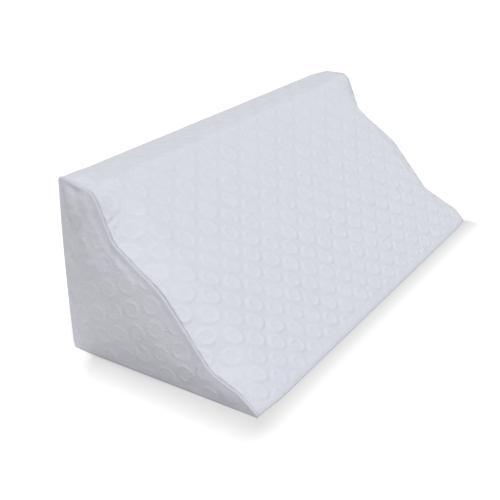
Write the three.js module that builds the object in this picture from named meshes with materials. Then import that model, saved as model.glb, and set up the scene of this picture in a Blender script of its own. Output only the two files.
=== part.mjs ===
// A wedge pillow: a filled wrap of ring-embossed cloth, closed by a wedge-shaped panel at each end.
// The end seams are wavy, and between them the cloth runs taut from the crest to the toe.
// Millimetres, +Z up. X runs along the pillow, Y from the toe of the slope to the upright back.
import * as THREE from "three";

// Driving sizes
const LENGTH = 600; // over the two end seams
const END_THICKNESS = 4; // an end panel at its seam
const SEAM_GAP = 0.3; // between a panel and the wrap
const CLOTH_COLOUR = 0xdcdee6;

// The embossed rings: staggered rows, each shifted by half a pitch from the next
const RING_PITCH = 41.5; // between the rings of a row
const ROW_PITCH = 17; // between rows
const RIM_RADIUS = 8.6; // the crest of a ring's raised rim
const RIM_WIDTH = 3.2;
const RIM_HEIGHT = 1.1; // over the cloth's mean surface
const DISH_HEIGHT = 0.3; // the disc inside the rim
const HOLLOW_DEPTH = 1.1; // the cloth between the rings
const HOLLOW_START = 9.5; // where the cloth begins to fall away outside the rim
const HOLLOW_END = 14.5;
const RING_SHIFT = { along: 0, down: 4 }; // one ring's centre, from mid-length and from the back edge of the top
const RELIEF_FADE = 9; // the rings flatten out over this distance from a seam
const END_RING_TURN = THREE.MathUtils.degToRad(62); // rings on the end panels: a row rises at this angle to the toe

// Fill: how far each face stands out at its middle
const CROWN = { back: 4, slope: 4, end: 5 };
const DRAW_IN = 48; // length over which the taut cloth is drawn in to a wavy end seam
const SEAM_INSET = 2.2; // the wrap is drawn in at the end seams
const SEAM_ROUND = 7; // length of that drawn-in edge
const PANEL_INSET = 0.8; // and the panel's own rounded edge
const TOE_TAPER = 30; // towards the thin toe the insets die out over this length

// The section's corners round the outline, as [distance from the back, height], at the left end seam, between the
// ends and at the right end seam. A corner with a run starts that face of the wrap. One without a middle is only in
// the seams.
const CORNERS = [
  { name: "back foot", left: [0, 0], middle: [0, 0], right: [0, 0], radius: 9, run: "back" },
  { name: "top edge", left: [0, 210], middle: [0, 208.5], right: [0, 206.5], radius: 7, run: "slope" },
  { name: "crest", left: [45.7, 200.2], middle: [44, 204], right: [41.5, 206.8], radius: 17 },
  { name: "upper valley", left: [70.5, 148.2], right: [65.4, 150.8], radius: 22 },
  { name: "swell", left: [131.9, 106.7], right: [127.3, 110.5], radius: 80 },
  { name: "lower valley", left: [193.2, 32.7], right: [186.9, 41.8], radius: 35 },
  { name: "apron", left: [229, 19.5], right: [238, 18], radius: 22 },
  { name: "toe", left: [250, 5], middle: [253, 7], right: [251, 7], radius: 4, run: "toe" },
  { name: "toe foot", left: [249.5, 0], middle: [252.5, 0], right: [250.5, 0], radius: 1.2, run: "base" },
];

const BASE_ROW = 50; // the flat base needs few rows
const ARC_STEPS = 8; // in the arc of a rounded corner
const EDGE_ROWS = [0, 0.35]; // extra rows beside a sharp edge, as parts of a row pitch
const PANEL_RIM_POINTS = 6; // round each ring of an end panel
const PANEL_CLEAR = 5; // from a panel's outline to the nearest of them

const FAN_CENTRE = new THREE.Vector2(-60, 50); // a point of the section that sees all of its outline
const HALF_LENGTH = LENGTH / 2;
const WRAP_END = HALF_LENGTH - END_THICKNESS - SEAM_GAP;

const smooth = (t) => THREE.MathUtils.smoothstep(t, 0, 1);

// From the centre of the nearest ring to a point of the cloth
function fromNearestRing(along, down) {
  const nearestRow = Math.round(down / ROW_PITCH);
  const offsets = [-1, 0, 1].map((step) => {
    const row = nearestRow + step;
    const shift = row % 2 === 0 ? 0 : RING_PITCH / 2;
    const across = along - shift - RING_PITCH * Math.round((along - shift) / RING_PITCH);
    return new THREE.Vector2(across, down - row * ROW_PITCH);
  });
  return offsets.reduce((best, offset) => (offset.length() < best.length() ? offset : best));
}

// Height of the embossed cloth at a distance from the nearest ring's centre
function ringRelief(distance) {
  const rim = Math.exp(-(((distance - RIM_RADIUS) / RIM_WIDTH) ** 2));
  const inside = 1 - smooth(distance / RIM_RADIUS);
  const hollow = smooth((distance - HOLLOW_START) / (HOLLOW_END - HOLLOW_START));
  return RIM_HEIGHT * rim + DISH_HEIGHT * inside - HOLLOW_DEPTH * hollow;
}

// The rounded arc at a corner between the straight runs to its two neighbours
function cornerArc(before, corner, after, radius) {
  const toBefore = before.clone().sub(corner).normalize();
  const toAfter = after.clone().sub(corner).normalize();
  const halfAngle = Math.acos(THREE.MathUtils.clamp(toBefore.dot(toAfter), -1, 1)) / 2;
  const reach = radius / Math.tan(halfAngle);
  const centre = corner
    .clone()
    .add(toBefore.clone().add(toAfter).normalize().multiplyScalar(radius / Math.sin(halfAngle)));
  const start = corner.clone().addScaledVector(toBefore, reach).sub(centre);
  const turn = start.angleTo(corner.clone().addScaledVector(toAfter, reach).sub(centre));
  const side = Math.sign(toAfter.cross(toBefore));
  const arc = [];
  for (let i = 0; i <= ARC_STEPS; i++) {
    arc.push(start.clone().rotateAround(new THREE.Vector2(), (side * turn * i) / ARC_STEPS).add(centre));
  }
  return arc;
}

// The section at one column of the corners, as one polyline for each run
function sectionRuns(column) {
  const corners = CORNERS.filter((corner) => corner[column]);
  const points = corners.map((corner) => new THREE.Vector2(-corner[column][0], corner[column][1]));
  const arcs = corners.map((corner, i) =>
    cornerArc(points.at(i - 1), points[i], points[(i + 1) % points.length], corner.radius),
  );
  const half = ARC_STEPS / 2;
  const runs = [];
  corners.forEach((corner, i) => {
    if (corner.run) {
      runs.push({ name: corner.run, points: arcs[i].slice(half) });
    } else {
      runs.at(-1).points.push(...arcs[i]);
    }
    const next = (i + 1) % corners.length;
    if (corners[next].run) {
      runs.at(-1).points.push(...arcs[next].slice(0, half + 1));
    }
  });
  return Object.fromEntries(runs.map((run) => [run.name, { ...run, ...measured(run.points) }]));
}

// Distances along a polyline
function measured(points) {
  const distances = [0];
  for (let i = 1; i < points.length; i++) {
    distances.push(distances[i - 1] + points[i].distanceTo(points[i - 1]));
  }
  return { distances, length: distances.at(-1) };
}

// A point of a run and the outward normal there
function onRun(run, distance) {
  const wanted = THREE.MathUtils.clamp(distance, 0, run.length);
  let i = 1;
  while (i < run.points.length - 1 && run.distances[i] < wanted) {
    i++;
  }
  const [a, b] = [run.points[i - 1], run.points[i]];
  const share = (wanted - run.distances[i - 1]) / (run.distances[i] - run.distances[i - 1]);
  const tangent = b.clone().sub(a).normalize();
  return { point: a.clone().lerp(b, share), normal: new THREE.Vector2(tangent.y, -tangent.x) };
}

const SECTIONS = { left: sectionRuns("left"), middle: sectionRuns("middle"), right: sectionRuns("right") };

// The rows of the wrap's mesh: the run that each lies on and how far along it, as a share of the run's length.
// Rows on the back and the slope sit on the ring lattice, so that rims and hollows fall on the mesh's points.
function meshRows(baseStep) {
  const rows = [];
  for (const run of Object.values(SECTIONS.middle)) {
    const cuts = EDGE_ROWS.flatMap((part) => [part * ROW_PITCH, run.length - part * ROW_PITCH]);
    if (run.name === "base") {
      const count = Math.round(run.length / baseStep);
      for (let i = 1; i < count; i++) {
        cuts.push((run.length * i) / count);
      }
    } else if (run.name !== "toe") {
      const first = run.name === "slope" ? RING_SHIFT.down : run.length + RING_SHIFT.down;
      const step = ROW_PITCH / 2;
      const clear = EDGE_ROWS.at(-1) * ROW_PITCH + step / 2;
      const start = first - step * Math.floor((first - clear) / step);
      for (let at = start; at < run.length - clear; at += step) {
        cuts.push(at);
      }
    }
    const kept = run.name === "toe" ? [0, run.length / 2] : cuts.sort((a, b) => a - b).slice(0, -1);
    for (const at of kept) {
      const down = (run.name === "back" ? at - run.length : at) - RING_SHIFT.down;
      rows.push({ run: run.name, share: at / run.length, at, length: run.length, down });
    }
  }
  return rows;
}

// One loop of points round the section at a place along the pillow
function sectionLoop(x, rows, inset, relief) {
  const seam = SECTIONS[x < 0 ? "left" : "right"];
  const fromSeam = HALF_LENGTH - Math.abs(x);
  const taut = smooth(fromSeam / DRAW_IN);
  const bow = 1 - Math.abs(x / HALF_LENGTH) ** 3;
  const toe = -SECTIONS.middle.toe.points[ARC_STEPS / 2].x;
  return rows.map((row) => {
    const drawn = onRun(seam[row.run], row.share * seam[row.run].length);
    const spanned = onRun(SECTIONS.middle[row.run], row.at);
    const point = drawn.point.lerp(spanned.point, taut);
    const normal = drawn.normal.lerp(spanned.normal, taut).normalize();
    const crown = (CROWN[row.run] ?? 0) * bow * Math.sin(Math.PI * row.share);
    const fromEdge = Math.min(row.at, row.length - row.at, WRAP_END - Math.abs(x));
    const embossed = row.run === "back" || row.run === "slope" ? relief * smooth(fromEdge / RELIEF_FADE) : 0;
    const rise = embossed * ringRelief(fromNearestRing(x - RING_SHIFT.along, row.down).length());
    const taper = smooth((toe + point.x) / TOE_TAPER);
    return point.addScaledVector(normal, crown + rise - inset * taper);
  });
}

function meshOf(name, positions, indices) {
  const geometry = new THREE.BufferGeometry();
  geometry.setAttribute("position", new THREE.Float32BufferAttribute(positions, 3));
  geometry.setIndex(indices);
  geometry.computeVertexNormals();
  const cloth = new THREE.MeshStandardMaterial({ color: CLOTH_COLOUR, roughness: 0.9, metalness: 0 });
  const mesh = new THREE.Mesh(geometry, cloth);
  mesh.name = name;
  return mesh;
}

// Triangles between loop after loop of points; the loops run so that the faces look outwards
function joinLoops(loops, count, indices, fallsBack = () => false) {
  for (let loop = 0; loop < loops - 1; loop++) {
    for (let i = 0; i < count; i++) {
      const next = (i + 1) % count;
      const [a, b] = [loop * count + i, loop * count + next];
      if (fallsBack(loop, i, next)) {
        indices.push(a, b, a + count, b, b + count, a + count);
      } else {
        indices.push(a, b, b + count, a, b + count, a + count);
      }
    }
  }
}

// A flat end: a fan of triangles from a point that sees the whole outline
function closeLoop(x, loop, first, outwards, positions, indices) {
  const centre = positions.length / 3;
  positions.push(x, FAN_CENTRE.x, FAN_CENTRE.y);
  loop.forEach((_, i) => {
    const next = (i + 1) % loop.length;
    indices.push(centre, first + (outwards ? i : next), first + (outwards ? next : i));
  });
}

// The filled wrap, lofted from end to end
function wrapPanel() {
  const rows = meshRows(BASE_ROW);
  const stations = [
    { x: -WRAP_END, inset: SEAM_INSET },
    { x: -WRAP_END + SEAM_ROUND * 0.3, inset: SEAM_INSET * 0.4 },
    { x: -WRAP_END + SEAM_ROUND, inset: 0 },
  ];
  const step = RING_PITCH / 4;
  const inner = WRAP_END - SEAM_ROUND - step / 3;
  for (let x = RING_SHIFT.along - step * Math.floor((inner + RING_SHIFT.along) / step); x < inner; x += step) {
    stations.push({ x, inset: 0 });
  }
  stations.push(...stations.slice(0, 3).reverse().map(({ x, inset }) => ({ x: -x, inset })));

  const loops = stations.map(({ x, inset }) => sectionLoop(x, rows, inset, 1));
  const positions = loops.flatMap((loop, i) => loop.flatMap((point) => [stations[i].x, point.x, point.y]));
  // Each square of the mesh is cut along the diagonal that runs round its nearest ring, not the one that leaves it.
  const roundRing = (loop, i, next) => {
    const along = (stations[loop].x + stations[loop + 1].x) / 2 - RING_SHIFT.along;
    const offset = fromNearestRing(along, (rows[i].down + rows[next].down) / 2);
    return offset.x * offset.y > 0;
  };
  const indices = [];
  joinLoops(loops.length, rows.length, indices, roundRing);
  closeLoop(-WRAP_END, loops[0], 0, false, positions, indices);
  closeLoop(WRAP_END, loops.at(-1), (loops.length - 1) * rows.length, true, positions, indices);
  return meshOf("wrap_panel", positions, indices);
}

// How far a point lies from an outline
function distanceTo(outline, point) {
  const nearest = new THREE.Vector3();
  const wanted = new THREE.Vector3(point.x, point.y, 0);
  const edge = new THREE.Line3();
  let best = Infinity;
  outline.forEach((a, i) => {
    const b = outline[(i + 1) % outline.length];
    edge.start.set(a.x, a.y, 0);
    edge.end.set(b.x, b.y, 0);
    edge.closestPointToPoint(wanted, true, nearest);
    best = Math.min(best, nearest.distanceTo(wanted));
  });
  return best;
}

function isInside(outline, point) {
  let inside = false;
  outline.forEach((a, i) => {
    const b = outline[(i + 1) % outline.length];
    if (a.y > point.y !== b.y > point.y && point.x < a.x + ((point.y - a.y) / (b.y - a.y)) * (b.x - a.x)) {
      inside = !inside;
    }
  });
  return inside;
}

// Delaunay triangles of points in a plane, added one at a time to a large first triangle
function delaunay(points) {
  const far = 10 * LENGTH;
  const all = [...points, new THREE.Vector2(-far, -far), new THREE.Vector2(far, -far), new THREE.Vector2(0, far)];
  const withCircle = (corners) => {
    const [a, b, c] = corners.map((corner) => all[corner]);
    const [ab, ac] = [b.clone().sub(a), c.clone().sub(a)];
    const twice = 2 * ab.cross(ac);
    const [bb, cc] = [ab.lengthSq(), ac.lengthSq()];
    const centre = new THREE.Vector2((ac.y * bb - ab.y * cc) / twice, (ab.x * cc - ac.x * bb) / twice);
    const radius = centre.length();
    return { corners, centre: centre.add(a), radius };
  };
  const count = points.length;
  const margin = 1e-6;
  let triangles = [withCircle([count, count + 1, count + 2])];
  points.forEach((point, added) => {
    const touched = triangles.filter(({ centre, radius }) => centre.distanceTo(point) < radius - margin);
    const edges = touched.flatMap(({ corners: [a, b, c] }) => [[a, b], [b, c], [c, a]]);
    const rim = edges.filter(([a, b]) => !edges.some(([c, d]) => a === d && b === c));
    triangles = triangles.filter((triangle) => !touched.includes(triangle));
    triangles.push(...rim.map(([a, b]) => withCircle([a, b, added])));
  });
  return triangles.map(({ corners }) => corners).filter((corners) => Math.max(...corners) < count);
}

// The mesh's points on a panel's rings: each ring's centre, points round its rim and the hollow beside it
function panelPoints(outline) {
  const box = new THREE.Box2().setFromPoints(outline);
  const middle = box.getCenter(new THREE.Vector2());
  const reach = Math.ceil(box.getSize(new THREE.Vector2()).length() / 2 / ROW_PITCH);
  const points = [];
  for (let row = -reach; row <= reach; row++) {
    for (let column = -reach; column <= reach; column++) {
      const centre = new THREE.Vector2((column + (row % 2 === 0 ? 0 : 0.5)) * RING_PITCH, row * ROW_PITCH);
      points.push(centre, centre.clone().add(new THREE.Vector2(RING_PITCH / 2, 0)));
      for (let i = 0; i < PANEL_RIM_POINTS; i++) {
        const rim = new THREE.Vector2(RIM_RADIUS, 0);
        points.push(rim.rotateAround(new THREE.Vector2(), (2 * Math.PI * i) / PANEL_RIM_POINTS).add(centre));
      }
    }
  }
  return points
    .map((point) => ({
      relief: ringRelief(fromNearestRing(point.x, point.y).length()),
      point: point.clone().rotateAround(new THREE.Vector2(), Math.PI - END_RING_TURN).add(middle),
    }))
    .filter(({ point }) => isInside(outline, point) && distanceTo(outline, point) > PANEL_CLEAR);
}

// An end panel: a slab with the wedge's outline, flat where it meets the wrap and crowned outside
function endPanel(name, side) {
  const rows = meshRows(ROW_PITCH / 2);
  const loopAt = (inset) => sectionLoop(side * HALF_LENGTH, rows, inset, 0);
  const face = HALF_LENGTH;
  const rims = [
    { x: face - END_THICKNESS, loop: loopAt(SEAM_INSET) },
    { x: face - END_THICKNESS * 0.6, loop: loopAt(PANEL_INSET) },
    { x: face - END_THICKNESS * 0.25, loop: loopAt(PANEL_INSET) },
    { x: face, loop: loopAt(SEAM_INSET) },
  ];
  const outline = rims.at(-1).loop;
  const inner = panelPoints(outline);
  const flat = [...outline, ...inner.map(({ point }) => point)];
  const positions = rims.flatMap(({ x, loop }) => loop.flatMap((point) => [side * x, point.x, point.y]));
  const firstInner = positions.length / 3;
  for (const { point, relief } of inner) {
    const fromSeam = distanceTo(outline, point);
    const crown = CROWN.end * smooth(fromSeam / (5 * RELIEF_FADE));
    positions.push(side * (face + crown + relief * smooth(fromSeam / RELIEF_FADE)), point.x, point.y);
  }
  const indices = [];
  joinLoops(rims.length, rows.length, indices);
  closeLoop(side * rims[0].x, rims[0].loop, 0, false, positions, indices);
  const outer = firstInner - rows.length;
  for (const corners of delaunay(flat)) {
    const [a, b, c] = corners.map((corner) => flat[corner]);
    const middle = a.clone().add(b).add(c).divideScalar(3);
    if (isInside(outline, middle)) {
      const turned = b.clone().sub(a).cross(c.clone().sub(a)) > 0 ? corners : [...corners].reverse();
      indices.push(...turned.map((corner) => outer + corner));
    }
  }
  if (side < 0) {
    indices.reverse();
  }
  return meshOf(name, positions, indices);
}

// The pieces, moved so that the origin is under the middle of the box that holds them
const pieces = new THREE.Group();
pieces.add(wrapPanel(), endPanel("left_end_panel", -1), endPanel("right_end_panel", 1));
const box = new THREE.Box3().setFromObject(pieces, true);
pieces.position.set(-(box.min.x + box.max.x) / 2, -(box.min.y + box.max.y) / 2, -box.min.z);

const pillow = new THREE.Group();
pillow.name = "wedge_pillow";
pillow.add(pieces);
export default pillow;
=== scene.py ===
"""Looks of the wedge pillow: a taut wrap of ring-embossed knit, closed by a wedge-shaped panel at each end.

Metres, +Z up. X runs along the pillow, -Y points to the toe of the slope and +Y to the upright back.
The pillow's sizes are written in millimetres, and MM scales them.
"""

import math

import bpy
import numpy as np
from mathutils import Euler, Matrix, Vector


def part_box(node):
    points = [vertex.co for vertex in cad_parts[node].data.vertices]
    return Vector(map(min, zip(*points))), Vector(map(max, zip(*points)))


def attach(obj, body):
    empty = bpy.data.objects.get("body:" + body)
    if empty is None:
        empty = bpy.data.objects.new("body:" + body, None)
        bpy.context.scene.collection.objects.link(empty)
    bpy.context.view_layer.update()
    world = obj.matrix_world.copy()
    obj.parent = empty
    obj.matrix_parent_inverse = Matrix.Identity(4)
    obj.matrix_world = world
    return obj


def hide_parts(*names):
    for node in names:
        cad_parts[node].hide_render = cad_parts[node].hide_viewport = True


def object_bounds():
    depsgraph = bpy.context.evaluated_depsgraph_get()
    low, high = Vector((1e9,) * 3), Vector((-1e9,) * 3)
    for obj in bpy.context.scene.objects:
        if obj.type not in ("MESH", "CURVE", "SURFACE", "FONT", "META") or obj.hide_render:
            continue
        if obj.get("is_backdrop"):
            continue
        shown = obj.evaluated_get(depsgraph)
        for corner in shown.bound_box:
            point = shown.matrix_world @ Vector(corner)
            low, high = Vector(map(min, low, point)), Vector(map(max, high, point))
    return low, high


MM = 0.001
SEED = 11  # each set of waves adds its own number to it

# Camera: where it stands, in metres, and how it turns, in degrees
CAMERA_PLACE = (-0.9164, -0.5145, 0.5309)
CAMERA_HEADING = -57.3
CAMERA_PITCH = 21.9
CAMERA_LENS = 62.04
CAMERA_SENSOR = 36.0
CAMERA_SHIFT_Y = -0.1

# The section's corners round the outline, as (distance from the back, height): at the left end seam, between
# the ends and at the right end seam. A corner with a run starts that face of the wrap. One without a middle
# is only in the seams.
CORNERS = {
    "back foot": {"left": (0, 0), "middle": (0, 0), "right": (0, 0), "radius": 9, "run": "back"},
    "top edge": {"left": (-2, 212), "middle": (-1, 210), "right": (0, 206.5), "radius": 4.5, "run": "slope"},
    "crest": {"left": (45.7, 200.2), "middle": (44, 204), "right": (41.5, 206.8), "radius": 17},
    "upper valley": {"left": (70.5, 148.2), "right": (65.4, 150.8), "radius": 22},
    "swell": {"left": (131.9, 106.7), "right": (127.3, 110.5), "radius": 80},
    "lower valley": {"left": (193.2, 32.7), "right": (186.9, 41.8), "radius": 35},
    "apron": {"left": (229, 19.5), "right": (238, 18), "radius": 22},
    "toe": {"left": (249.6, 3.6), "middle": (252, 4.4), "right": (250.2, 4.6), "radius": 4, "run": "toe"},
    "toe foot": {"left": (251.6, 0), "middle": (255, 0), "right": (252.8, 0), "radius": 0.5, "run": "base"},
}
ARC_STEPS = 12  # in the arc of a rounded corner
CAD_PANEL_INSET = 0.8  # the rounded edge of a packed end panel stops this far inside the outline
HALF_LENGTH = 300.0
CROWN = {"back": 4.0, "slope": 4.0, "end": 5.0}
CROWN_POWER = 3  # with which the crowns of the back and the slope die out towards the ends
PANEL_CROWN_REACH = 45.0  # from the seam to the full crown of an end panel
END_SWELL = 2.4  # the back bows out this much at the end seams too
DRAW_IN = 48.0  # length over which the taut cloth is drawn in to a wavy end seam

# Points of the fine mesh, in millimetres between them
STEP = {"back": 3.2, "slope": 1.65, "toe": 0.8, "base": 12.0}
ALONG_STEP = 1.85
SEAM_STATIONS = [0.0, 0.25, 0.6, 1.1, 1.7, 2.5, 3.6, 5.0]  # from the wrap's edge to its first even station
PANEL_STEP = {"back": 2.2, "slope": 1.7, "toe": 1.2, "base": 2.6}
PANEL_LOOPS = 72
LIP_STEPS = 8
PANEL_CENTRE = (-70.0, 62.0)  # sees the whole outline of an end
WRAP_CENTRE = (-60.0, 50.0)  # and this one sees the whole edge of the wrap

# The seam: the panel's edge rolls over the corner as a narrow lip, and the wrap meets it in a groove
LIP_RADIUS = 1.6
LIP_RISE = 0.6  # over the face of the wrap, where the seam stands open
LIP_GROOVE = (1.3, 2.0)  # the lip's shade starts and is full this many radii behind the panel's face
WRAP_ROLL = 2.9
SEAM_GAP = 0.3
GROOVE_WIDTH = 2.0
THIN_TOE = 30.0  # the roll dies out over this length towards the thin toe
SEAM = [  # down the slope: how far the seam stands open, and how far the end panel bulges beside it
    {"down": 0, "open": 0.3, "bulge": 0.8},
    {"down": 26, "open": 0.35, "bulge": 0.8},
    {"down": 36, "open": 0.8, "bulge": 0.4},
    {"down": 44, "open": 1.0, "bulge": 0.3},
    {"down": 66, "open": 0.9, "bulge": 0.4},
    {"down": 80, "open": 0.3, "bulge": 0.6},
    {"down": 96, "open": 0.0, "bulge": 1.0},
    {"down": 140, "open": 0.02, "bulge": 1.0},
    {"down": 154, "open": 0.5, "bulge": 0.5},
    {"down": 172, "open": 0.95, "bulge": 0.2},
    {"down": 222, "open": 1.0, "bulge": 0.1},
    {"down": 240, "open": 0.6, "bulge": 0.0},
    {"down": 262, "open": 0.25, "bulge": 0.0},
    {"down": 329, "open": 0.1, "bulge": 0.0},
]
RIGHT_OPEN = 0.25  # the right seam stands open this share as far
BULGE_RISE = 2.4
BULGE_EDGE = 13.0  # it has risen this far from the seam
BULGE_REACH = 45.0  # and is gone this much farther in
SIDES_POWER = 3.0  # blends a panel's distances to its four sides

# The embossed rings: staggered rows, each half a pitch beside the next, on cloth that the sewing skews
RING_PITCH = 41.5
ROW_PITCH = 17.3
FIRST_RING = (4.8, 35.4)  # a ring's centre on the even lattice
LATTICE_DOWN = 200.0  # the lattice is measured from here down the slope
LATTICE_BEND = 150.0  # and is skewed evenly beyond this far above it
RING_DRIFT = {  # share of the distance along and down, then of their products over 100 mm
    "along": {"x": 1.0055, "down": -0.146, "x_x": -0.015, "x_down": 0.0465, "down_down": -0.031},
    "down": {"x": -0.036, "down": 1.03, "x_x": 0.004, "x_down": 0.0, "down_down": 0.041},
}
RING_UNEVEN = {"share": 0.22, "size": 70.0}  # the rings' height varies by about this share
RING_STRENGTH = [  # the stretched cloth shows its rings more towards the toe
    {"down": -210, "share": 0.8},
    {"down": 0, "share": 0.5},
    {"down": 70, "share": 0.6},
    {"down": 130, "share": 0.85},
    {"down": 200, "share": 1.2},
    {"down": 330, "share": 1.5},
]
RIM_RADIUS = 8.8
RIM_WIDTH = 1.6
RIM_HEIGHT = 0.96
DISH_HEIGHT = 0.06  # of the cloth inside a ring
HOLLOW_DEPTH = 0.48  # of the cloth between the rings
HOLLOW_START = 9.4
HOLLOW_END = 14.0
RELIEF_FADE = 8.0  # from a seam or a folded edge to the full relief
PANEL_RELIEF = 0.42  # the rings are fainter on the end panels
PANEL_RING_TURN = -118.0  # turns the plane of a panel to its rows of rings

# Main creases of the wrap, as (along, down), and of the seen end panel, as (distance from the back, height).
# A positive depth is a trough and a negative one a ridge.
WRAP_CREASES = [
    {"from": (-292, 3), "to": (-289, 40), "width": 6.5, "depth": 1.7},
    {"from": (-280, 14), "to": (-283, 34), "width": 5.0, "depth": -0.5},
    {"from": (-294, 64), "to": (-285, 77), "width": 2.6, "depth": 1.2},
    {"from": (-294, 82), "to": (-284, 78), "width": 2.2, "depth": 1.9},
    {"from": (-292, 90), "to": (-285, 91), "width": 2.6, "depth": 0.9},
    {"from": (-294, 107), "to": (-279, 104), "width": 2.8, "depth": 1.1},
    {"from": (-281, 109), "to": (-278, 122), "width": 3.0, "depth": 1.0},
    {"from": (-292, 150), "to": (-276, 140), "width": 3.4, "depth": 0.5},
    {"from": (-293, 262), "to": (-272, 258), "width": 3.6, "depth": 0.5},
    {"from": (-207, 262), "to": (-218, 274), "width": 2.6, "depth": 0.8},
    {"from": (-138, 116), "to": (-137, 126), "width": 4.0, "depth": 0.4},
    {"from": (288, 70), "to": (272, 78), "width": 3.0, "depth": 0.8},
    {"from": (292, 96), "to": (280, 100), "width": 2.6, "depth": 0.6},
    {"from": (292, 214), "to": (274, 206), "width": 3.4, "depth": 0.7},
]
END_CREASES = [
    {"from": (7, 204), "to": (33, 196), "width": 3.2, "depth": 0.9},
    {"from": (4, 198), "to": (6, 180), "width": 3.6, "depth": 1.6},
    {"from": (20, 202), "to": (24, 188), "width": 5.0, "depth": 1.7},
    {"from": (34, 196), "to": (37, 176), "width": 6.0, "depth": -1.5},
    {"from": (30, 166), "to": (17, 144), "width": 4.6, "depth": 2.8},
    {"from": (10, 172), "to": (13, 152), "width": 5.0, "depth": 1.8},
    {"from": (34, 156), "to": (30, 142), "width": 6.0, "depth": -1.4},
    {"from": (9, 124), "to": (11, 112), "width": 5.0, "depth": 1.8},
    {"from": (44, 126), "to": (45, 116), "width": 9.0, "depth": -1.8},
    {"from": (66, 134), "to": (64, 116), "width": 6.5, "depth": 2.2},
    {"from": (99, 134), "to": (104, 130), "width": 8.0, "depth": -1.5},
    {"from": (2, 74), "to": (6, 50), "width": 5.0, "depth": 1.2},
    {"from": (50, 40), "to": (58, 28), "width": 5.0, "depth": 1.2},
    {"from": (96, 35), "to": (106, 31), "width": 4.5, "depth": 1.2},
]
CREASE_END = 0.35  # share of its depth that a crease has at its ends
CREASE_FADE = 3.0  # from an end panel's seam to the full depth of its creases
SLACK = {"height": 0.5, "size": 120.0}  # low waves of the wrap over its fill
GATHER = {"height": 0.35, "size": 13.0, "reach": 9.0}  # small gathers of the wrap beside the end seams
PANEL_SLACK = {"height": 0.5, "size": 60.0}
PANEL_FINE_SLACK = {"height": 0.25, "size": 24.0}
WAVE_COUNT = 8
WAVE_LENGTHS = (0.7, 1.7)  # shares of the size that is asked for

# Light: a white studio, a little brighter overhead, and a broad key from above that leans to the toe and to
# the left end
WHITE = (1.0, 1.0, 1.0, 1.0)
SKY = 0.35
SKY_LEAN = (0.0, 0.0, 0.1)
KEY = 2.7
KEY_ANGLE = 30.0
KEY_FROM = (-0.22, -0.3, 0.93)

# The floor's painted soft shade beside the pillow, in metres
FLOOR_SIZE = 40.0
FLOOR_TONE = (0.96, 0.96, 0.96, 1.0)
CONTACT_PAINTED_SHADE = (0.61, 0.606, 0.605, 1.0)
CONTACT_REACH = 0.057  # beside the left end
CONTACT_RIGHT = 5.0  # it is this many times narrower at the right end
CONTACT_FRONT = 1.7  # and before the toe
CONTACT_CURVE = 1.25  # power with which it clears over that reach
CONTACT_BACK = (0.09, 0.128)  # the shade dies out between these places towards the back
CONTACT_SLANT = 0.64  # and that much sooner farther out
BACK_GLOW = 0.3  # the floor's own light close behind the pillow, against the pillow's shade there
GLOW_BACK = (0.2, 0.4)  # it dies out between these places towards the back
GLOW_END = (0.05, 0.12)  # and this far past the ends

# The cloth: linear colours of its faint mottle and, in metres, the sizes of its stitches
CLOTH_COOL = (0.552, 0.57, 0.634, 1.0)
CLOTH_WARM = (0.59, 0.603, 0.645, 1.0)
END_PAINTED_SHADE = (0.91, 0.885, 0.895, 1.0)  # painted shade: the end panels' colour is made a little darker to stand in for the shade they are in
MOTTLE_SCALE = 38.0
MOTTLE_DETAIL = 3.0
ROUGHNESS = (0.78, 0.94)
SHEEN = 0.12
SHEEN_ROUGHNESS = 0.5
WALE = 0.0016
COURSE = 0.0012
STITCH_SHARE = 0.12  # of the pebbles' height
PEBBLE_SCALE = 290.0
PEBBLE_DETAIL = 1.0
PEBBLE_HEIGHT = 0.0007
RELIEF_RANGE = (-0.5, 0.75)  # heights of the hollows and of the rims, in millimetres
HOLLOW_PAINTED_SHADE = 0.987  # painted shade colours the hollows between the rings darker, and a painted highlight colours the rims lighter
RIM_PAINTED_HIGHLIGHT = 1.032
GROOVE_PAINTED_SHADE = 0.72  # painted shade deep in an open seam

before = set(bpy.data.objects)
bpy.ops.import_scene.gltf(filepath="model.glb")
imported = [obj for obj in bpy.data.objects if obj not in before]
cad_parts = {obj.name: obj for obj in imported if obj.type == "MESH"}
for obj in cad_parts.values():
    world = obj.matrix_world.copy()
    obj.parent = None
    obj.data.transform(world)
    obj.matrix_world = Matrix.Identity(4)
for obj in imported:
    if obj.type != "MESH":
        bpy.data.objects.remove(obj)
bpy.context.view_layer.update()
back_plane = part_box("left_end_panel")[1].y + CAD_PANEL_INSET * MM


def smooth(t):
    t = np.clip(t, 0.0, 1.0)
    return t * t * (3.0 - 2.0 * t)


def read_table(rows, down, what):
    """A table's value at distances down the slope."""
    return np.interp(down, [row["down"] for row in rows], [row[what] for row in rows])


def corner_arc(before, corner, after, radius):
    """The rounded arc at a corner between the straight runs to its two neighbours."""
    to_before = (before - corner) / np.linalg.norm(before - corner)
    to_after = (after - corner) / np.linalg.norm(after - corner)
    half_angle = math.acos(np.clip(to_before @ to_after, -1.0, 1.0)) / 2
    reach = radius / math.tan(half_angle)
    inwards = (to_before + to_after) / np.linalg.norm(to_before + to_after)
    centre = corner + inwards * radius / math.sin(half_angle)
    start = corner + to_before * reach - centre
    end = corner + to_after * reach - centre
    first = math.atan2(start[1], start[0])
    turn = (math.atan2(end[1], end[0]) - first + math.pi) % (2 * math.pi) - math.pi
    angles = first + turn * np.linspace(0.0, 1.0, ARC_STEPS + 1)
    return centre + radius * np.column_stack((np.cos(angles), np.sin(angles)))


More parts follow.
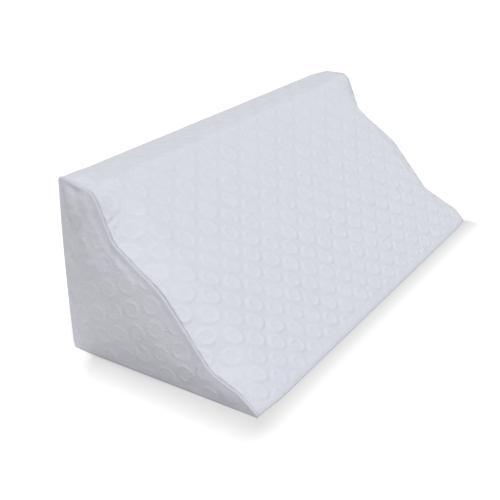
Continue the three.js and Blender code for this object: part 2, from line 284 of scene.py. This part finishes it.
def section_runs(column):
    """The outline at one column of the corners: a polyline for each run."""
    corners = [corner for corner in CORNERS.values() if column in corner]
    points = [np.array((-corner[column][0], corner[column][1]), float) for corner in corners]
    count = len(corners)
    arcs = []
    for i, corner in enumerate(corners):
        arcs.append(corner_arc(points[i - 1], points[i], points[(i + 1) % count], corner["radius"]))
    half = ARC_STEPS // 2
    runs = {}
    name = None
    for i, corner in enumerate(corners):
        if "run" in corner:
            name = corner["run"]
            runs[name] = [arcs[i][half:]]
        else:
            runs[name].append(arcs[i])
        following = (i + 1) % count
        if "run" in corners[following]:
            runs[name].append(arcs[following][: half + 1])
    return {name: np.concatenate(parts) for name, parts in runs.items()}


def distances(points):
    return np.concatenate(([0.0], np.cumsum(np.linalg.norm(np.diff(points, axis=0), axis=1))))


def along(points, share):
    """Points at shares of a polyline's length."""
    at = distances(points)
    wanted = np.asarray(share) * at[-1]
    return np.column_stack([np.interp(wanted, at, points[:, axis]) for axis in range(2)])


def loop_normals(points):
    """Outward normals of a closed outline."""
    tangent = np.roll(points, -1, axis=0) - np.roll(points, 1, axis=0)
    normal = np.column_stack((tangent[:, 1], -tangent[:, 0]))
    normal /= np.linalg.norm(normal, axis=1)[:, None]
    centre = points.mean(axis=0)
    if np.mean(np.sum(normal * (points - centre), axis=1)) < 0:
        normal = -normal
    return normal


SECTIONS = {column: section_runs(column) for column in ("left", "middle", "right")}
RUN_LENGTH = {name: distances(points)[-1] for name, points in SECTIONS["middle"].items()}


class Rows:
    """Rows of a mesh round the section: the run that each lies on, its share of it and its place."""

    def __init__(self, steps):
        self.run = []
        self.share = []
        for name, length in RUN_LENGTH.items():
            count = max(2, round(length / steps[name]))
            self.run += [name] * count
            self.share += [i / count for i in range(count)]
        self.share = np.array(self.share)
        self.length = np.array([RUN_LENGTH[name] for name in self.run])
        self.at = self.share * self.length
        starts = {"back": -RUN_LENGTH["back"], "slope": 0.0, "toe": RUN_LENGTH["slope"]}
        starts["base"] = starts["toe"] + RUN_LENGTH["toe"]
        self.down = self.at + np.array([starts[name] for name in self.run])
        self.embossed = np.array([name in ("back", "slope") for name in self.run])
        self.crown = np.array([CROWN.get(name, 0.0) for name in self.run]) * np.sin(np.pi * self.share)

    def outline(self, column):
        parts = []
        for name in RUN_LENGTH:
            shares = self.share[[run == name for run in self.run]]
            parts.append(along(SECTIONS[column][name], shares))
        places = np.concatenate(parts)
        if column != "middle":
            back = np.array([name == "back" for name in self.run])
            places[:, 0] += END_SWELL * np.where(back, np.sin(np.pi * self.share), 0.0)
        return places


def waves(u, v, size, salt):
    """Smooth uneven waves of about unit height over the cloth."""
    chance = np.random.default_rng(SEED + salt)
    total = 0.0
    for _ in range(WAVE_COUNT):
        heading = chance.uniform(0.0, 2 * math.pi)
        length = size * chance.uniform(*WAVE_LENGTHS)
        start = chance.uniform(0.0, 2 * math.pi)
        across = u * math.cos(heading) + v * math.sin(heading)
        total = total + np.sin(2 * math.pi * across / length + start)
    return total / (WAVE_COUNT / 2)


def crease_rise(u, v, creases):
    """Height that soft creases give to points of the cloth."""
    rise = 0.0
    for crease in creases:
        start = np.array(crease["from"], float)
        run = np.array(crease["to"], float) - start
        share = np.clip(((u - start[0]) * run[0] + (v - start[1]) * run[1]) / (run @ run), 0.0, 1.0)
        away = np.hypot(u - start[0] - share * run[0], v - start[1] - share * run[1])
        taper = CREASE_END + (1.0 - CREASE_END) * np.sin(np.pi * share)
        rise = rise - crease["depth"] * taper * np.exp(-((away / crease["width"]) ** 2))
    return rise


def wrap_lattice(x, down):
    """Where points of the wrap lie on the even lattice of the rings."""
    below = down - LATTICE_DOWN
    near = np.maximum(below, -LATTICE_BEND)
    squared = near**2 + 2 * near * (below - near)
    places = []
    for drift in RING_DRIFT.values():
        even = drift["x"] * x + drift["down"] * below
        skew = drift["x_x"] * x**2 + drift["x_down"] * x * near + drift["down_down"] * squared
        places.append(even + skew / 100.0)
    return places[0] - FIRST_RING[0], places[1] - FIRST_RING[1]


def ring_distance(u, v):
    """Distance from points of the even lattice to the centre of their nearest ring."""
    nearest = np.full(np.shape(u), np.inf)
    middle_row = np.round(v / ROW_PITCH)
    for step in (-1, 0, 1):
        row = middle_row + step
        shift = np.where(row % 2 == 0, 0.0, RING_PITCH / 2)
        across = u - shift
        across = across - RING_PITCH * np.round(across / RING_PITCH)
        nearest = np.minimum(nearest, np.hypot(across, v - row * ROW_PITCH))
    return nearest


def ring_relief(distance):
    """Height of the cloth at a distance from a ring's centre."""
    rim = np.exp(-(((distance - RIM_RADIUS) / RIM_WIDTH) ** 2))
    inside = 1.0 - smooth(distance / RIM_RADIUS)
    hollow = smooth((distance - HOLLOW_START) / (HOLLOW_END - HOLLOW_START))
    return RIM_HEIGHT * rim + DISH_HEIGHT * inside - HOLLOW_DEPTH * hollow


def beside_seam(rows, what):
    """How far the seam stands open, or the end panel bulges, beside each row: from 0 to 1."""
    slope = np.array([name == "slope" for name in rows.run])
    return np.where(slope, read_table(SEAM, rows.at, what), SEAM[0][what])


def seam_open(x, rows):
    """How far the end seam on the side of each station stands open beside each row."""
    end = np.where(np.asarray(x) < 0, 1.0, RIGHT_OPEN)
    return end[..., None] * beside_seam(rows, "open")


def thickness_share(outline):
    """1 where the pillow is thick, falling towards 0 at the thin toe."""
    toe = outline[:, 0].min()
    return smooth((outline[:, 0] - toe) / THIN_TOE)


def roll_inset(from_edge):
    """How far the wrap's rolled edge falls away at a distance from it."""
    reach = np.clip(1.0 - from_edge / WRAP_ROLL, 0.0, 1.0)
    return WRAP_ROLL * (1.0 - np.sqrt(1.0 - reach**2))


def wrap_section(x, rows):
    """The wrap without its crown at stations x: its outline, its outward normals and how thick it is."""
    left = rows.outline("left")
    middle = rows.outline("middle")
    right = rows.outline("right")
    taut = smooth((HALF_LENGTH - np.abs(x)) / DRAW_IN)[:, None, None]
    is_left = (x < 0)[:, None, None]
    seam = np.where(is_left, left, right)
    seam_normal = np.where(is_left, loop_normals(left), loop_normals(right))
    section = seam + (middle - seam) * taut
    normal = seam_normal + (loop_normals(middle) - seam_normal) * taut
    normal /= np.linalg.norm(normal, axis=2)[:, :, None]
    thick = np.where(is_left[:, :, 0], thickness_share(left), thickness_share(right))
    return section, normal, thick


def wrap_cloth(x, rows):
    """What rings, slack, gathers and creases add to the wrap at stations x, and the rings' own part of it."""
    from_seam = HALF_LENGTH - np.abs(x)
    edge = np.minimum(np.minimum(rows.at, rows.length - rows.at), from_seam[:, None])
    fade = smooth(edge / RELIEF_FADE)
    u, v = np.broadcast_arrays(x[:, None], rows.down)
    relief = ring_relief(ring_distance(*wrap_lattice(u, v)))
    relief = relief * (1.0 + RING_UNEVEN["share"] * waves(u, v, RING_UNEVEN["size"], 1))
    relief = relief * read_table(RING_STRENGTH, rows.down, "share")
    relief = np.where(rows.embossed, fade * relief, 0.0)
    slack = fade * SLACK["height"] * waves(u, v, SLACK["size"], 2)
    gather = GATHER["height"] * waves(v, 0.0 * v, GATHER["size"], 3)
    gather = gather * np.exp(-from_seam / GATHER["reach"])[:, None]
    creases = crease_rise(u, v, WRAP_CREASES)
    return relief + np.where(rows.embossed, slack + gather + creases, 0.0), relief


def wrap_surface(x, rows, from_edge):
    """Points of the wrap at stations x, as stations by rows by 3, and the rings' height at each."""
    section, normal, thick = wrap_section(x, rows)
    cloth, relief = wrap_cloth(x, rows)
    bow = 1.0 - np.abs(x / HALF_LENGTH) ** CROWN_POWER
    rise = bow[:, None] * rows.crown + cloth
    rise -= roll_inset(from_edge)[:, None] * thick * seam_open(x, rows)
    points = np.zeros((*rise.shape, 3))
    points[:, :, 0] = x[:, None]
    points[:, :, 1:] = section + normal * rise[:, :, None]
    points[:, :, 2] = np.maximum(points[:, :, 2], 0.0)
    return points, relief


def loop_faces(index):
    """Quads between neighbouring closed loops of points: a loop to a row of the index."""
    after = np.roll(index, -1, axis=1)
    return np.stack((index[:-1], after[:-1], after[1:], index[1:]), axis=-1).reshape(-1, 4)


def cap_faces(loop, hub, outwards):
    """Triangles between a closed loop of points and a point in its middle."""
    pairs = zip(loop.tolist(), np.roll(loop, -1).tolist())
    return [(hub, *(pair if outwards else pair[::-1])) for pair in pairs]


def add_mesh(name, points, faces, cloth_places, shares, material):
    """A smooth piece whose points know their place on the cloth and their named shares."""
    placed = points * MM
    placed[:, 1] += back_plane
    mesh = bpy.data.meshes.new(name)
    mesh.from_pydata([tuple(point) for point in placed], [], faces)
    layer = mesh.attributes.new("cloth_place", "FLOAT_VECTOR", "POINT")
    layer.data.foreach_set("vector", np.asarray(cloth_places * MM, np.float32).ravel())
    for title, values in shares.items():
        layer = mesh.attributes.new(title, "FLOAT", "POINT")
        layer.data.foreach_set("value", np.asarray(values, np.float32))
    mesh.shade_smooth()
    mesh.validate()
    mesh.materials.append(material)
    piece = bpy.data.objects.new(name, mesh)
    bpy.context.collection.objects.link(piece)
    return piece


def wrap_stations(end):
    """Stations along the wrap, close together beside its edges."""
    beside = end - np.array(SEAM_STATIONS)
    inner = beside[-1]
    count = round(2 * inner / ALONG_STEP)
    even = np.linspace(-inner, inner, count + 1)[1:-1]
    return np.concatenate((-beside, even, beside[::-1]))


def make_wrap(material):
    rows = Rows(STEP)
    end = HALF_LENGTH - 2 * LIP_RADIUS - SEAM_GAP
    x = wrap_stations(end)
    surface, relief = wrap_surface(x, rows, end - np.abs(x))
    stations, width = relief.shape
    index = np.arange(stations * width).reshape(stations, width)
    faces = loop_faces(index).tolist()
    faces += cap_faces(index[0], index.size, False)
    faces += cap_faces(index[-1], index.size + 1, True)
    hubs = [(station, *WRAP_CENTRE) for station in (x[0], x[-1])]
    points = np.vstack((surface.reshape(-1, 3), hubs))
    places = np.zeros_like(points)
    places[: index.size, 0] = np.repeat(x, width)
    places[: index.size, 1] = np.tile(rows.down, stations)
    # how much painted shade the open seam's groove gets
    groove = smooth(1.0 - (end - np.abs(x)) / GROOVE_WIDTH)[:, None] * seam_open(x, rows)
    shares = {
        "emboss": np.append(relief, (0.0, 0.0)),
        "groove": np.append(groove, (0.0, 0.0)),
        "painted_end_shade_mask": np.zeros(len(points)),
    }
    return add_mesh("wrap", points, faces, places, shares, material)


def nearest_on_line(points, line):
    """Distance from each point to a polyline, and the number of its edge that is nearest."""
    best = np.full(len(points), np.inf)
    nearest = np.zeros(len(points), int)
    for i, (start, end) in enumerate(zip(line[:-1], line[1:])):
        edge = end - start
        share = np.clip((points - start) @ edge / max(edge @ edge, 1e-12), 0.0, 1.0)
        distance = np.linalg.norm(points - start - share[:, None] * edge, axis=1)
        nearest = np.where(distance < best, i, nearest)
        best = np.minimum(best, distance)
    return best, nearest


def from_sides(points, outline, rows):
    """Distances from points of an end panel to its seam with each run, and the nearest row of the slope."""
    away = {}
    closed = np.vstack((outline, outline[:1]))
    for name in RUN_LENGTH:
        inside = [i for i, run in enumerate(rows.run) if run == name]
        away[name], nearest = nearest_on_line(points, closed[inside[0] : inside[-1] + 2])
        if name == "slope":
            beside = inside[0] + nearest
    return away, beside


def turned(points, degrees):
    angle = math.radians(degrees)
    turn = np.array(((math.cos(angle), -math.sin(angle)), (math.sin(angle), math.cos(angle))))
    return points @ turn.T


def panel_rise(points, outline, cloth, rows, creases):
    """How far an end panel's face stands out at points of its plane, and how much of that is ring."""
    away, beside = from_sides(points, outline, rows)
    nearness = sum(np.maximum(distance, 1e-6) ** -SIDES_POWER for distance in away.values())
    from_seam = nearness ** (-1 / SIDES_POWER)
    fade = smooth(from_seam / RELIEF_FADE)
    u, v = cloth.T
    bulge = beside_seam(rows, "bulge")[beside] * smooth(away["slope"] / BULGE_EDGE)
    bulge *= smooth(1 - (away["slope"] - BULGE_EDGE) / BULGE_REACH) * smooth(from_seam / BULGE_EDGE)
    crown = CROWN["end"] * smooth(from_seam / PANEL_CROWN_REACH) + BULGE_RISE * bulge
    relief = PANEL_RELIEF * ring_relief(ring_distance(u, v))
    relief *= (1.0 + RING_UNEVEN["share"] * waves(u, v, RING_UNEVEN["size"], 4)) * fade
    slack = PANEL_SLACK["height"] * waves(u, v, PANEL_SLACK["size"], 5)
    slack += PANEL_FINE_SLACK["height"] * waves(u, v, PANEL_FINE_SLACK["size"], 6)
    folds = crease_rise(-points[:, 0], points[:, 1], creases) * smooth(from_seam / CREASE_FADE)
    return crown + relief + slack * fade + folds, relief


def panel_lip(seam, rows, side):
    """Loops of a panel's rolled edge, as (behind its face, across, up), and their depth in the groove, as a
    share of its painted shade.
    """
    normal = loop_normals(seam)
    thick = thickness_share(seam)
    opening = seam_open(side, rows)
    start, full = LIP_GROOVE
    loops = []
    grooves = []
    for step in range(LIP_STEPS + 1):
        angle = math.pi * (step / LIP_STEPS - 0.5)
        out = LIP_RISE * opening * thick - LIP_RADIUS * thick * (1.0 - math.cos(angle))
        behind = LIP_RADIUS * (1.0 - math.sin(angle))
        loop = seam + normal * out[:, None]
        loop[:, 1] = np.maximum(loop[:, 1], 0.0)
        loops.append(np.column_stack((np.full(len(seam), behind), loop)))
        grooves.append(smooth((behind / LIP_RADIUS - start) / (full - start)) * opening)
    return np.vstack(loops), np.concatenate(grooves)


def panel_face(rim):
    """Points of a panel's plane: loops that shrink from its rim to its middle."""
    centre = np.array(PANEL_CENTRE)
    loops = [centre + (rim - centre) * (1.0 - loop / PANEL_LOOPS) for loop in range(1, PANEL_LOOPS)]
    return np.vstack((*loops, centre))


def make_panel(name, column, side, creases, material):
    rows = Rows(PANEL_STEP)
    seam = rows.outline(column)
    lip, groove = panel_lip(seam, rows, side)
    rim = lip[-len(seam) :, 1:]
    middle = rim.mean(axis=0)
    face = panel_face(rim)
    out, relief = panel_rise(face, rim, turned(face - middle, PANEL_RING_TURN), rows, creases)
    points = np.vstack((lip, np.column_stack((-out, face)), (2 * LIP_RADIUS, *PANEL_CENTRE)))
    points[:, 0] = side * (HALF_LENGTH - points[:, 0])
    loops = LIP_STEPS + PANEL_LOOPS
    index = np.arange(loops * len(seam)).reshape(loops, len(seam))
    sides = loop_faces(index)
    if side > 0:
        sides = sides[:, ::-1]
    faces = sides.tolist()
    faces += cap_faces(index[-1], index.size, side < 0)
    faces += cap_faces(index[0], index.size + 1, side > 0)
    places = np.zeros_like(points)
    places[:, :2] = turned(points[:, 1:] - middle, PANEL_RING_TURN)
    shares = {
        "emboss": np.concatenate((np.zeros(len(lip)), relief, (0.0,))),
        "groove": np.concatenate((groove, np.zeros(len(points) - len(lip)))),
        "painted_end_shade_mask": np.ones(len(points)),
    }
    return add_mesh(name, points, faces, places, shares, material)


def add_node(tree, kind, operation=None, **values):
    """A shader node with its inputs set to values or linked to other nodes' outputs."""
    node = tree.nodes.new(kind)
    if operation:
        node.operation = operation
    for name, value in values.items():
        place = node.inputs[int(name[1:])] if name[1:].isdigit() else node.inputs[name]
        if isinstance(value, bpy.types.NodeSocket):
            tree.links.new(value, place)
        else:
            place.default_value = value
    return node


def add_math(tree, operation, first, second=0.0):
    return add_node(tree, "ShaderNodeMath", operation, _0=first, _1=second).outputs[0]


def map_range(tree, value, span, low, high):
    node = add_node(tree, "ShaderNodeMapRange", _0=value, _1=span[0], _2=span[1], _3=low, _4=high)
    return node.outputs[0]


def mix_colours(tree, share, first, second, blend="MIX"):
    node = add_node(tree, "ShaderNodeMix", _0=share, _6=first, _7=second)
    node.data_type = "RGBA"
    node.blend_type = blend
    return node.outputs[2]


def read_attribute(tree, name, output="Fac"):
    node = tree.nodes.new("ShaderNodeAttribute")
    node.attribute_name = name
    return node.outputs[output]


def knit_colour(tree, mottle):
    """The faint mottle, with painted shade making it darker in the hollows, the groove and on the end panels,
    and a painted highlight making the rims lighter.
    """
    tone = mix_colours(tree, mottle, CLOTH_COOL, CLOTH_WARM)
    # painted shade in the hollows between the rings and a painted highlight on their rims
    painted_relief_shade = map_range(tree, read_attribute(tree, "emboss"), RELIEF_RANGE, HOLLOW_PAINTED_SHADE, RIM_PAINTED_HIGHLIGHT)
    # painted shade deep in the open seam's groove
    painted_groove_shade = map_range(tree, read_attribute(tree, "groove"), (0.0, 1.0), 1.0, GROOVE_PAINTED_SHADE)
    shade = add_math(tree, "MULTIPLY", painted_relief_shade, painted_groove_shade)
    shaded_tone = add_node(tree, "ShaderNodeVectorMath", "SCALE", _0=tone, Scale=shade)
    # painted shade: the end panels are coloured darker
    painted_end_shade = mix_colours(tree, read_attribute(tree, "painted_end_shade_mask"), WHITE, END_PAINTED_SHADE)
    return mix_colours(tree, 1.0, shaded_tone.outputs[0], painted_end_shade, "MULTIPLY")


def knit_normal(tree, place):
    """The fine grid of stitches under soft pebbles."""
    split = add_node(tree, "ShaderNodeSeparateXYZ", Vector=place)
    wale = add_math(tree, "SINE", add_math(tree, "MULTIPLY", split.outputs[0], 2 * math.pi / WALE))
    course = add_math(tree, "SINE", add_math(tree, "MULTIPLY", split.outputs[1], 2 * math.pi / COURSE))
    stitch = add_math(tree, "MULTIPLY", add_math(tree, "MULTIPLY", wale, course), STITCH_SHARE)
    pebble = add_node(tree, "ShaderNodeTexNoise", Vector=place, Scale=PEBBLE_SCALE, Detail=PEBBLE_DETAIL)
    height = add_math(tree, "ADD", stitch, pebble.outputs[0])
    bump = add_node(tree, "ShaderNodeBump", Height=height, Distance=PEBBLE_HEIGHT, Strength=1.0)
    return bump.outputs["Normal"]


def knit_material():
    """White knit with a fine grain, a little sheen and a faint mottle."""
    material = bpy.data.materials.new("embossed_knit")
    material.use_nodes = True
    tree = material.node_tree
    shader = tree.nodes["Principled BSDF"]
    place = read_attribute(tree, "cloth_place", "Vector")
    noise = add_node(tree, "ShaderNodeTexNoise", Vector=place, Scale=MOTTLE_SCALE, Detail=MOTTLE_DETAIL)
    mottle = noise.outputs[0]
    tree.links.new(knit_colour(tree, mottle), shader.inputs["Base Color"])
    tree.links.new(map_range(tree, mottle, (0.0, 1.0), *ROUGHNESS), shader.inputs["Roughness"])
    tree.links.new(knit_normal(tree, place), shader.inputs["Normal"])
    shader.inputs["Sheen Weight"].default_value = SHEEN
    shader.inputs["Sheen Roughness"].default_value = SHEEN_ROUGHNESS
    return material


def add_camera():
    data = bpy.data.cameras.new("camera")
    data.lens = CAMERA_LENS
    data.sensor_width = CAMERA_SENSOR
    data.shift_y = CAMERA_SHIFT_Y
    camera = bpy.data.objects.new("camera", data)
    camera.location = CAMERA_PLACE
    camera.rotation_euler = Euler((math.radians(90 - CAMERA_PITCH), 0.0, math.radians(CAMERA_HEADING)))
    bpy.context.collection.objects.link(camera)
    bpy.context.scene.camera = camera


def floor_shade(tree, toe_front):
    """How clear the floor is of the painted soft shade beside the pillow, and the floor's own glow close
    behind the pillow.
    """
    place = add_node(tree, "ShaderNodeTexCoord").outputs["Object"]
    split = add_node(tree, "ShaderNodeSeparateXYZ", Vector=place)
    far = split.outputs["Y"]
    past_left = add_math(tree, "SUBTRACT", -HALF_LENGTH * MM, split.outputs["X"])
    past_right = add_math(tree, "SUBTRACT", split.outputs["X"], HALF_LENGTH * MM)
    past_end = add_math(tree, "MAXIMUM", past_left, add_math(tree, "MULTIPLY", past_right, CONTACT_RIGHT))
    past_end = add_math(tree, "MAXIMUM", past_end, 0.0)
    past_toe = add_math(tree, "MAXIMUM", add_math(tree, "SUBTRACT", toe_front, far), 0.0)
    past_toe = add_math(tree, "MULTIPLY", past_toe, CONTACT_FRONT)
    past = add_node(tree, "ShaderNodeCombineXYZ", X=past_end, Y=past_toe)
    away = add_node(tree, "ShaderNodeVectorMath", "LENGTH", _0=past.outputs[0])
    clear = map_range(tree, away.outputs["Value"], (0.0, CONTACT_REACH), 0.0, 1.0)
    slanted = add_math(tree, "ADD", far, add_math(tree, "MULTIPLY", past_end, CONTACT_SLANT))
    behind = map_range(tree, slanted, CONTACT_BACK, 0.0, 1.0)
    bare = add_math(tree, "MAXIMUM", add_math(tree, "POWER", clear, CONTACT_CURVE), behind)
    near = map_range(tree, far, GLOW_BACK, BACK_GLOW, 0.0)
    beside = map_range(tree, past_end, GLOW_END, 1.0, 0.0)
    glow = add_math(tree, "MULTIPLY", behind, add_math(tree, "MULTIPLY", near, beside))
    return bare, glow


def add_floor(toe_front):
    bpy.ops.mesh.primitive_plane_add(size=FLOOR_SIZE, location=(0.0, 0.0, 0.0))
    floor = bpy.context.object
    floor.name = "floor"
    material = bpy.data.materials.new("floor")
    material.use_nodes = True
    tree = material.node_tree
    shader = tree.nodes["Principled BSDF"]
    bare, glow = floor_shade(tree, toe_front)
    # painted shadow: the floor's colour darkens beside the pillow
    tree.links.new(mix_colours(tree, bare, CONTACT_PAINTED_SHADE, FLOOR_TONE), shader.inputs["Base Color"])
    tree.links.new(glow, shader.inputs["Emission Strength"])
    shader.inputs["Emission Color"].default_value = WHITE
    shader.inputs["Roughness"].default_value = 1.0
    floor.data.materials.append(material)
    floor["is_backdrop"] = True


def add_studio():
    """A white world that is a little brighter overhead."""
    world = bpy.data.worlds.new("studio")
    bpy.context.scene.world = world
    world.use_nodes = True
    tree = world.node_tree
    background = tree.nodes["Background"]
    background.inputs["Color"].default_value = WHITE
    towards = add_node(tree, "ShaderNodeTexCoord").outputs["Generated"]
    lean = add_node(tree, "ShaderNodeVectorMath", "DOT_PRODUCT", _0=towards, _1=SKY_LEAN)
    level = add_math(tree, "ADD", lean.outputs["Value"], 1.0)
    tree.links.new(add_math(tree, "MULTIPLY", level, SKY), background.inputs["Strength"])


def add_key():
    data = bpy.data.lights.new("key", "SUN")
    data.energy = KEY
    data.angle = math.radians(KEY_ANGLE)
    key = bpy.data.objects.new("key", data)
    key.rotation_euler = (-Vector(KEY_FROM)).to_track_quat("-Z", "Y").to_euler()
    bpy.context.collection.objects.link(key)


knit = knit_material()
pieces = {
    "wrap_panel": make_wrap(knit),
    "left_end_panel": make_panel("left_end", "left", -1, END_CREASES, knit),
    "right_end_panel": make_panel("right_end", "right", 1, [], knit),
}
for node, piece in pieces.items():
    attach(piece, "root")
    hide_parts(node)

add_camera()
add_floor(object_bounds()[0][1])
add_studio()
add_key()
bpy.context.scene.view_settings.view_transform = "Standard"
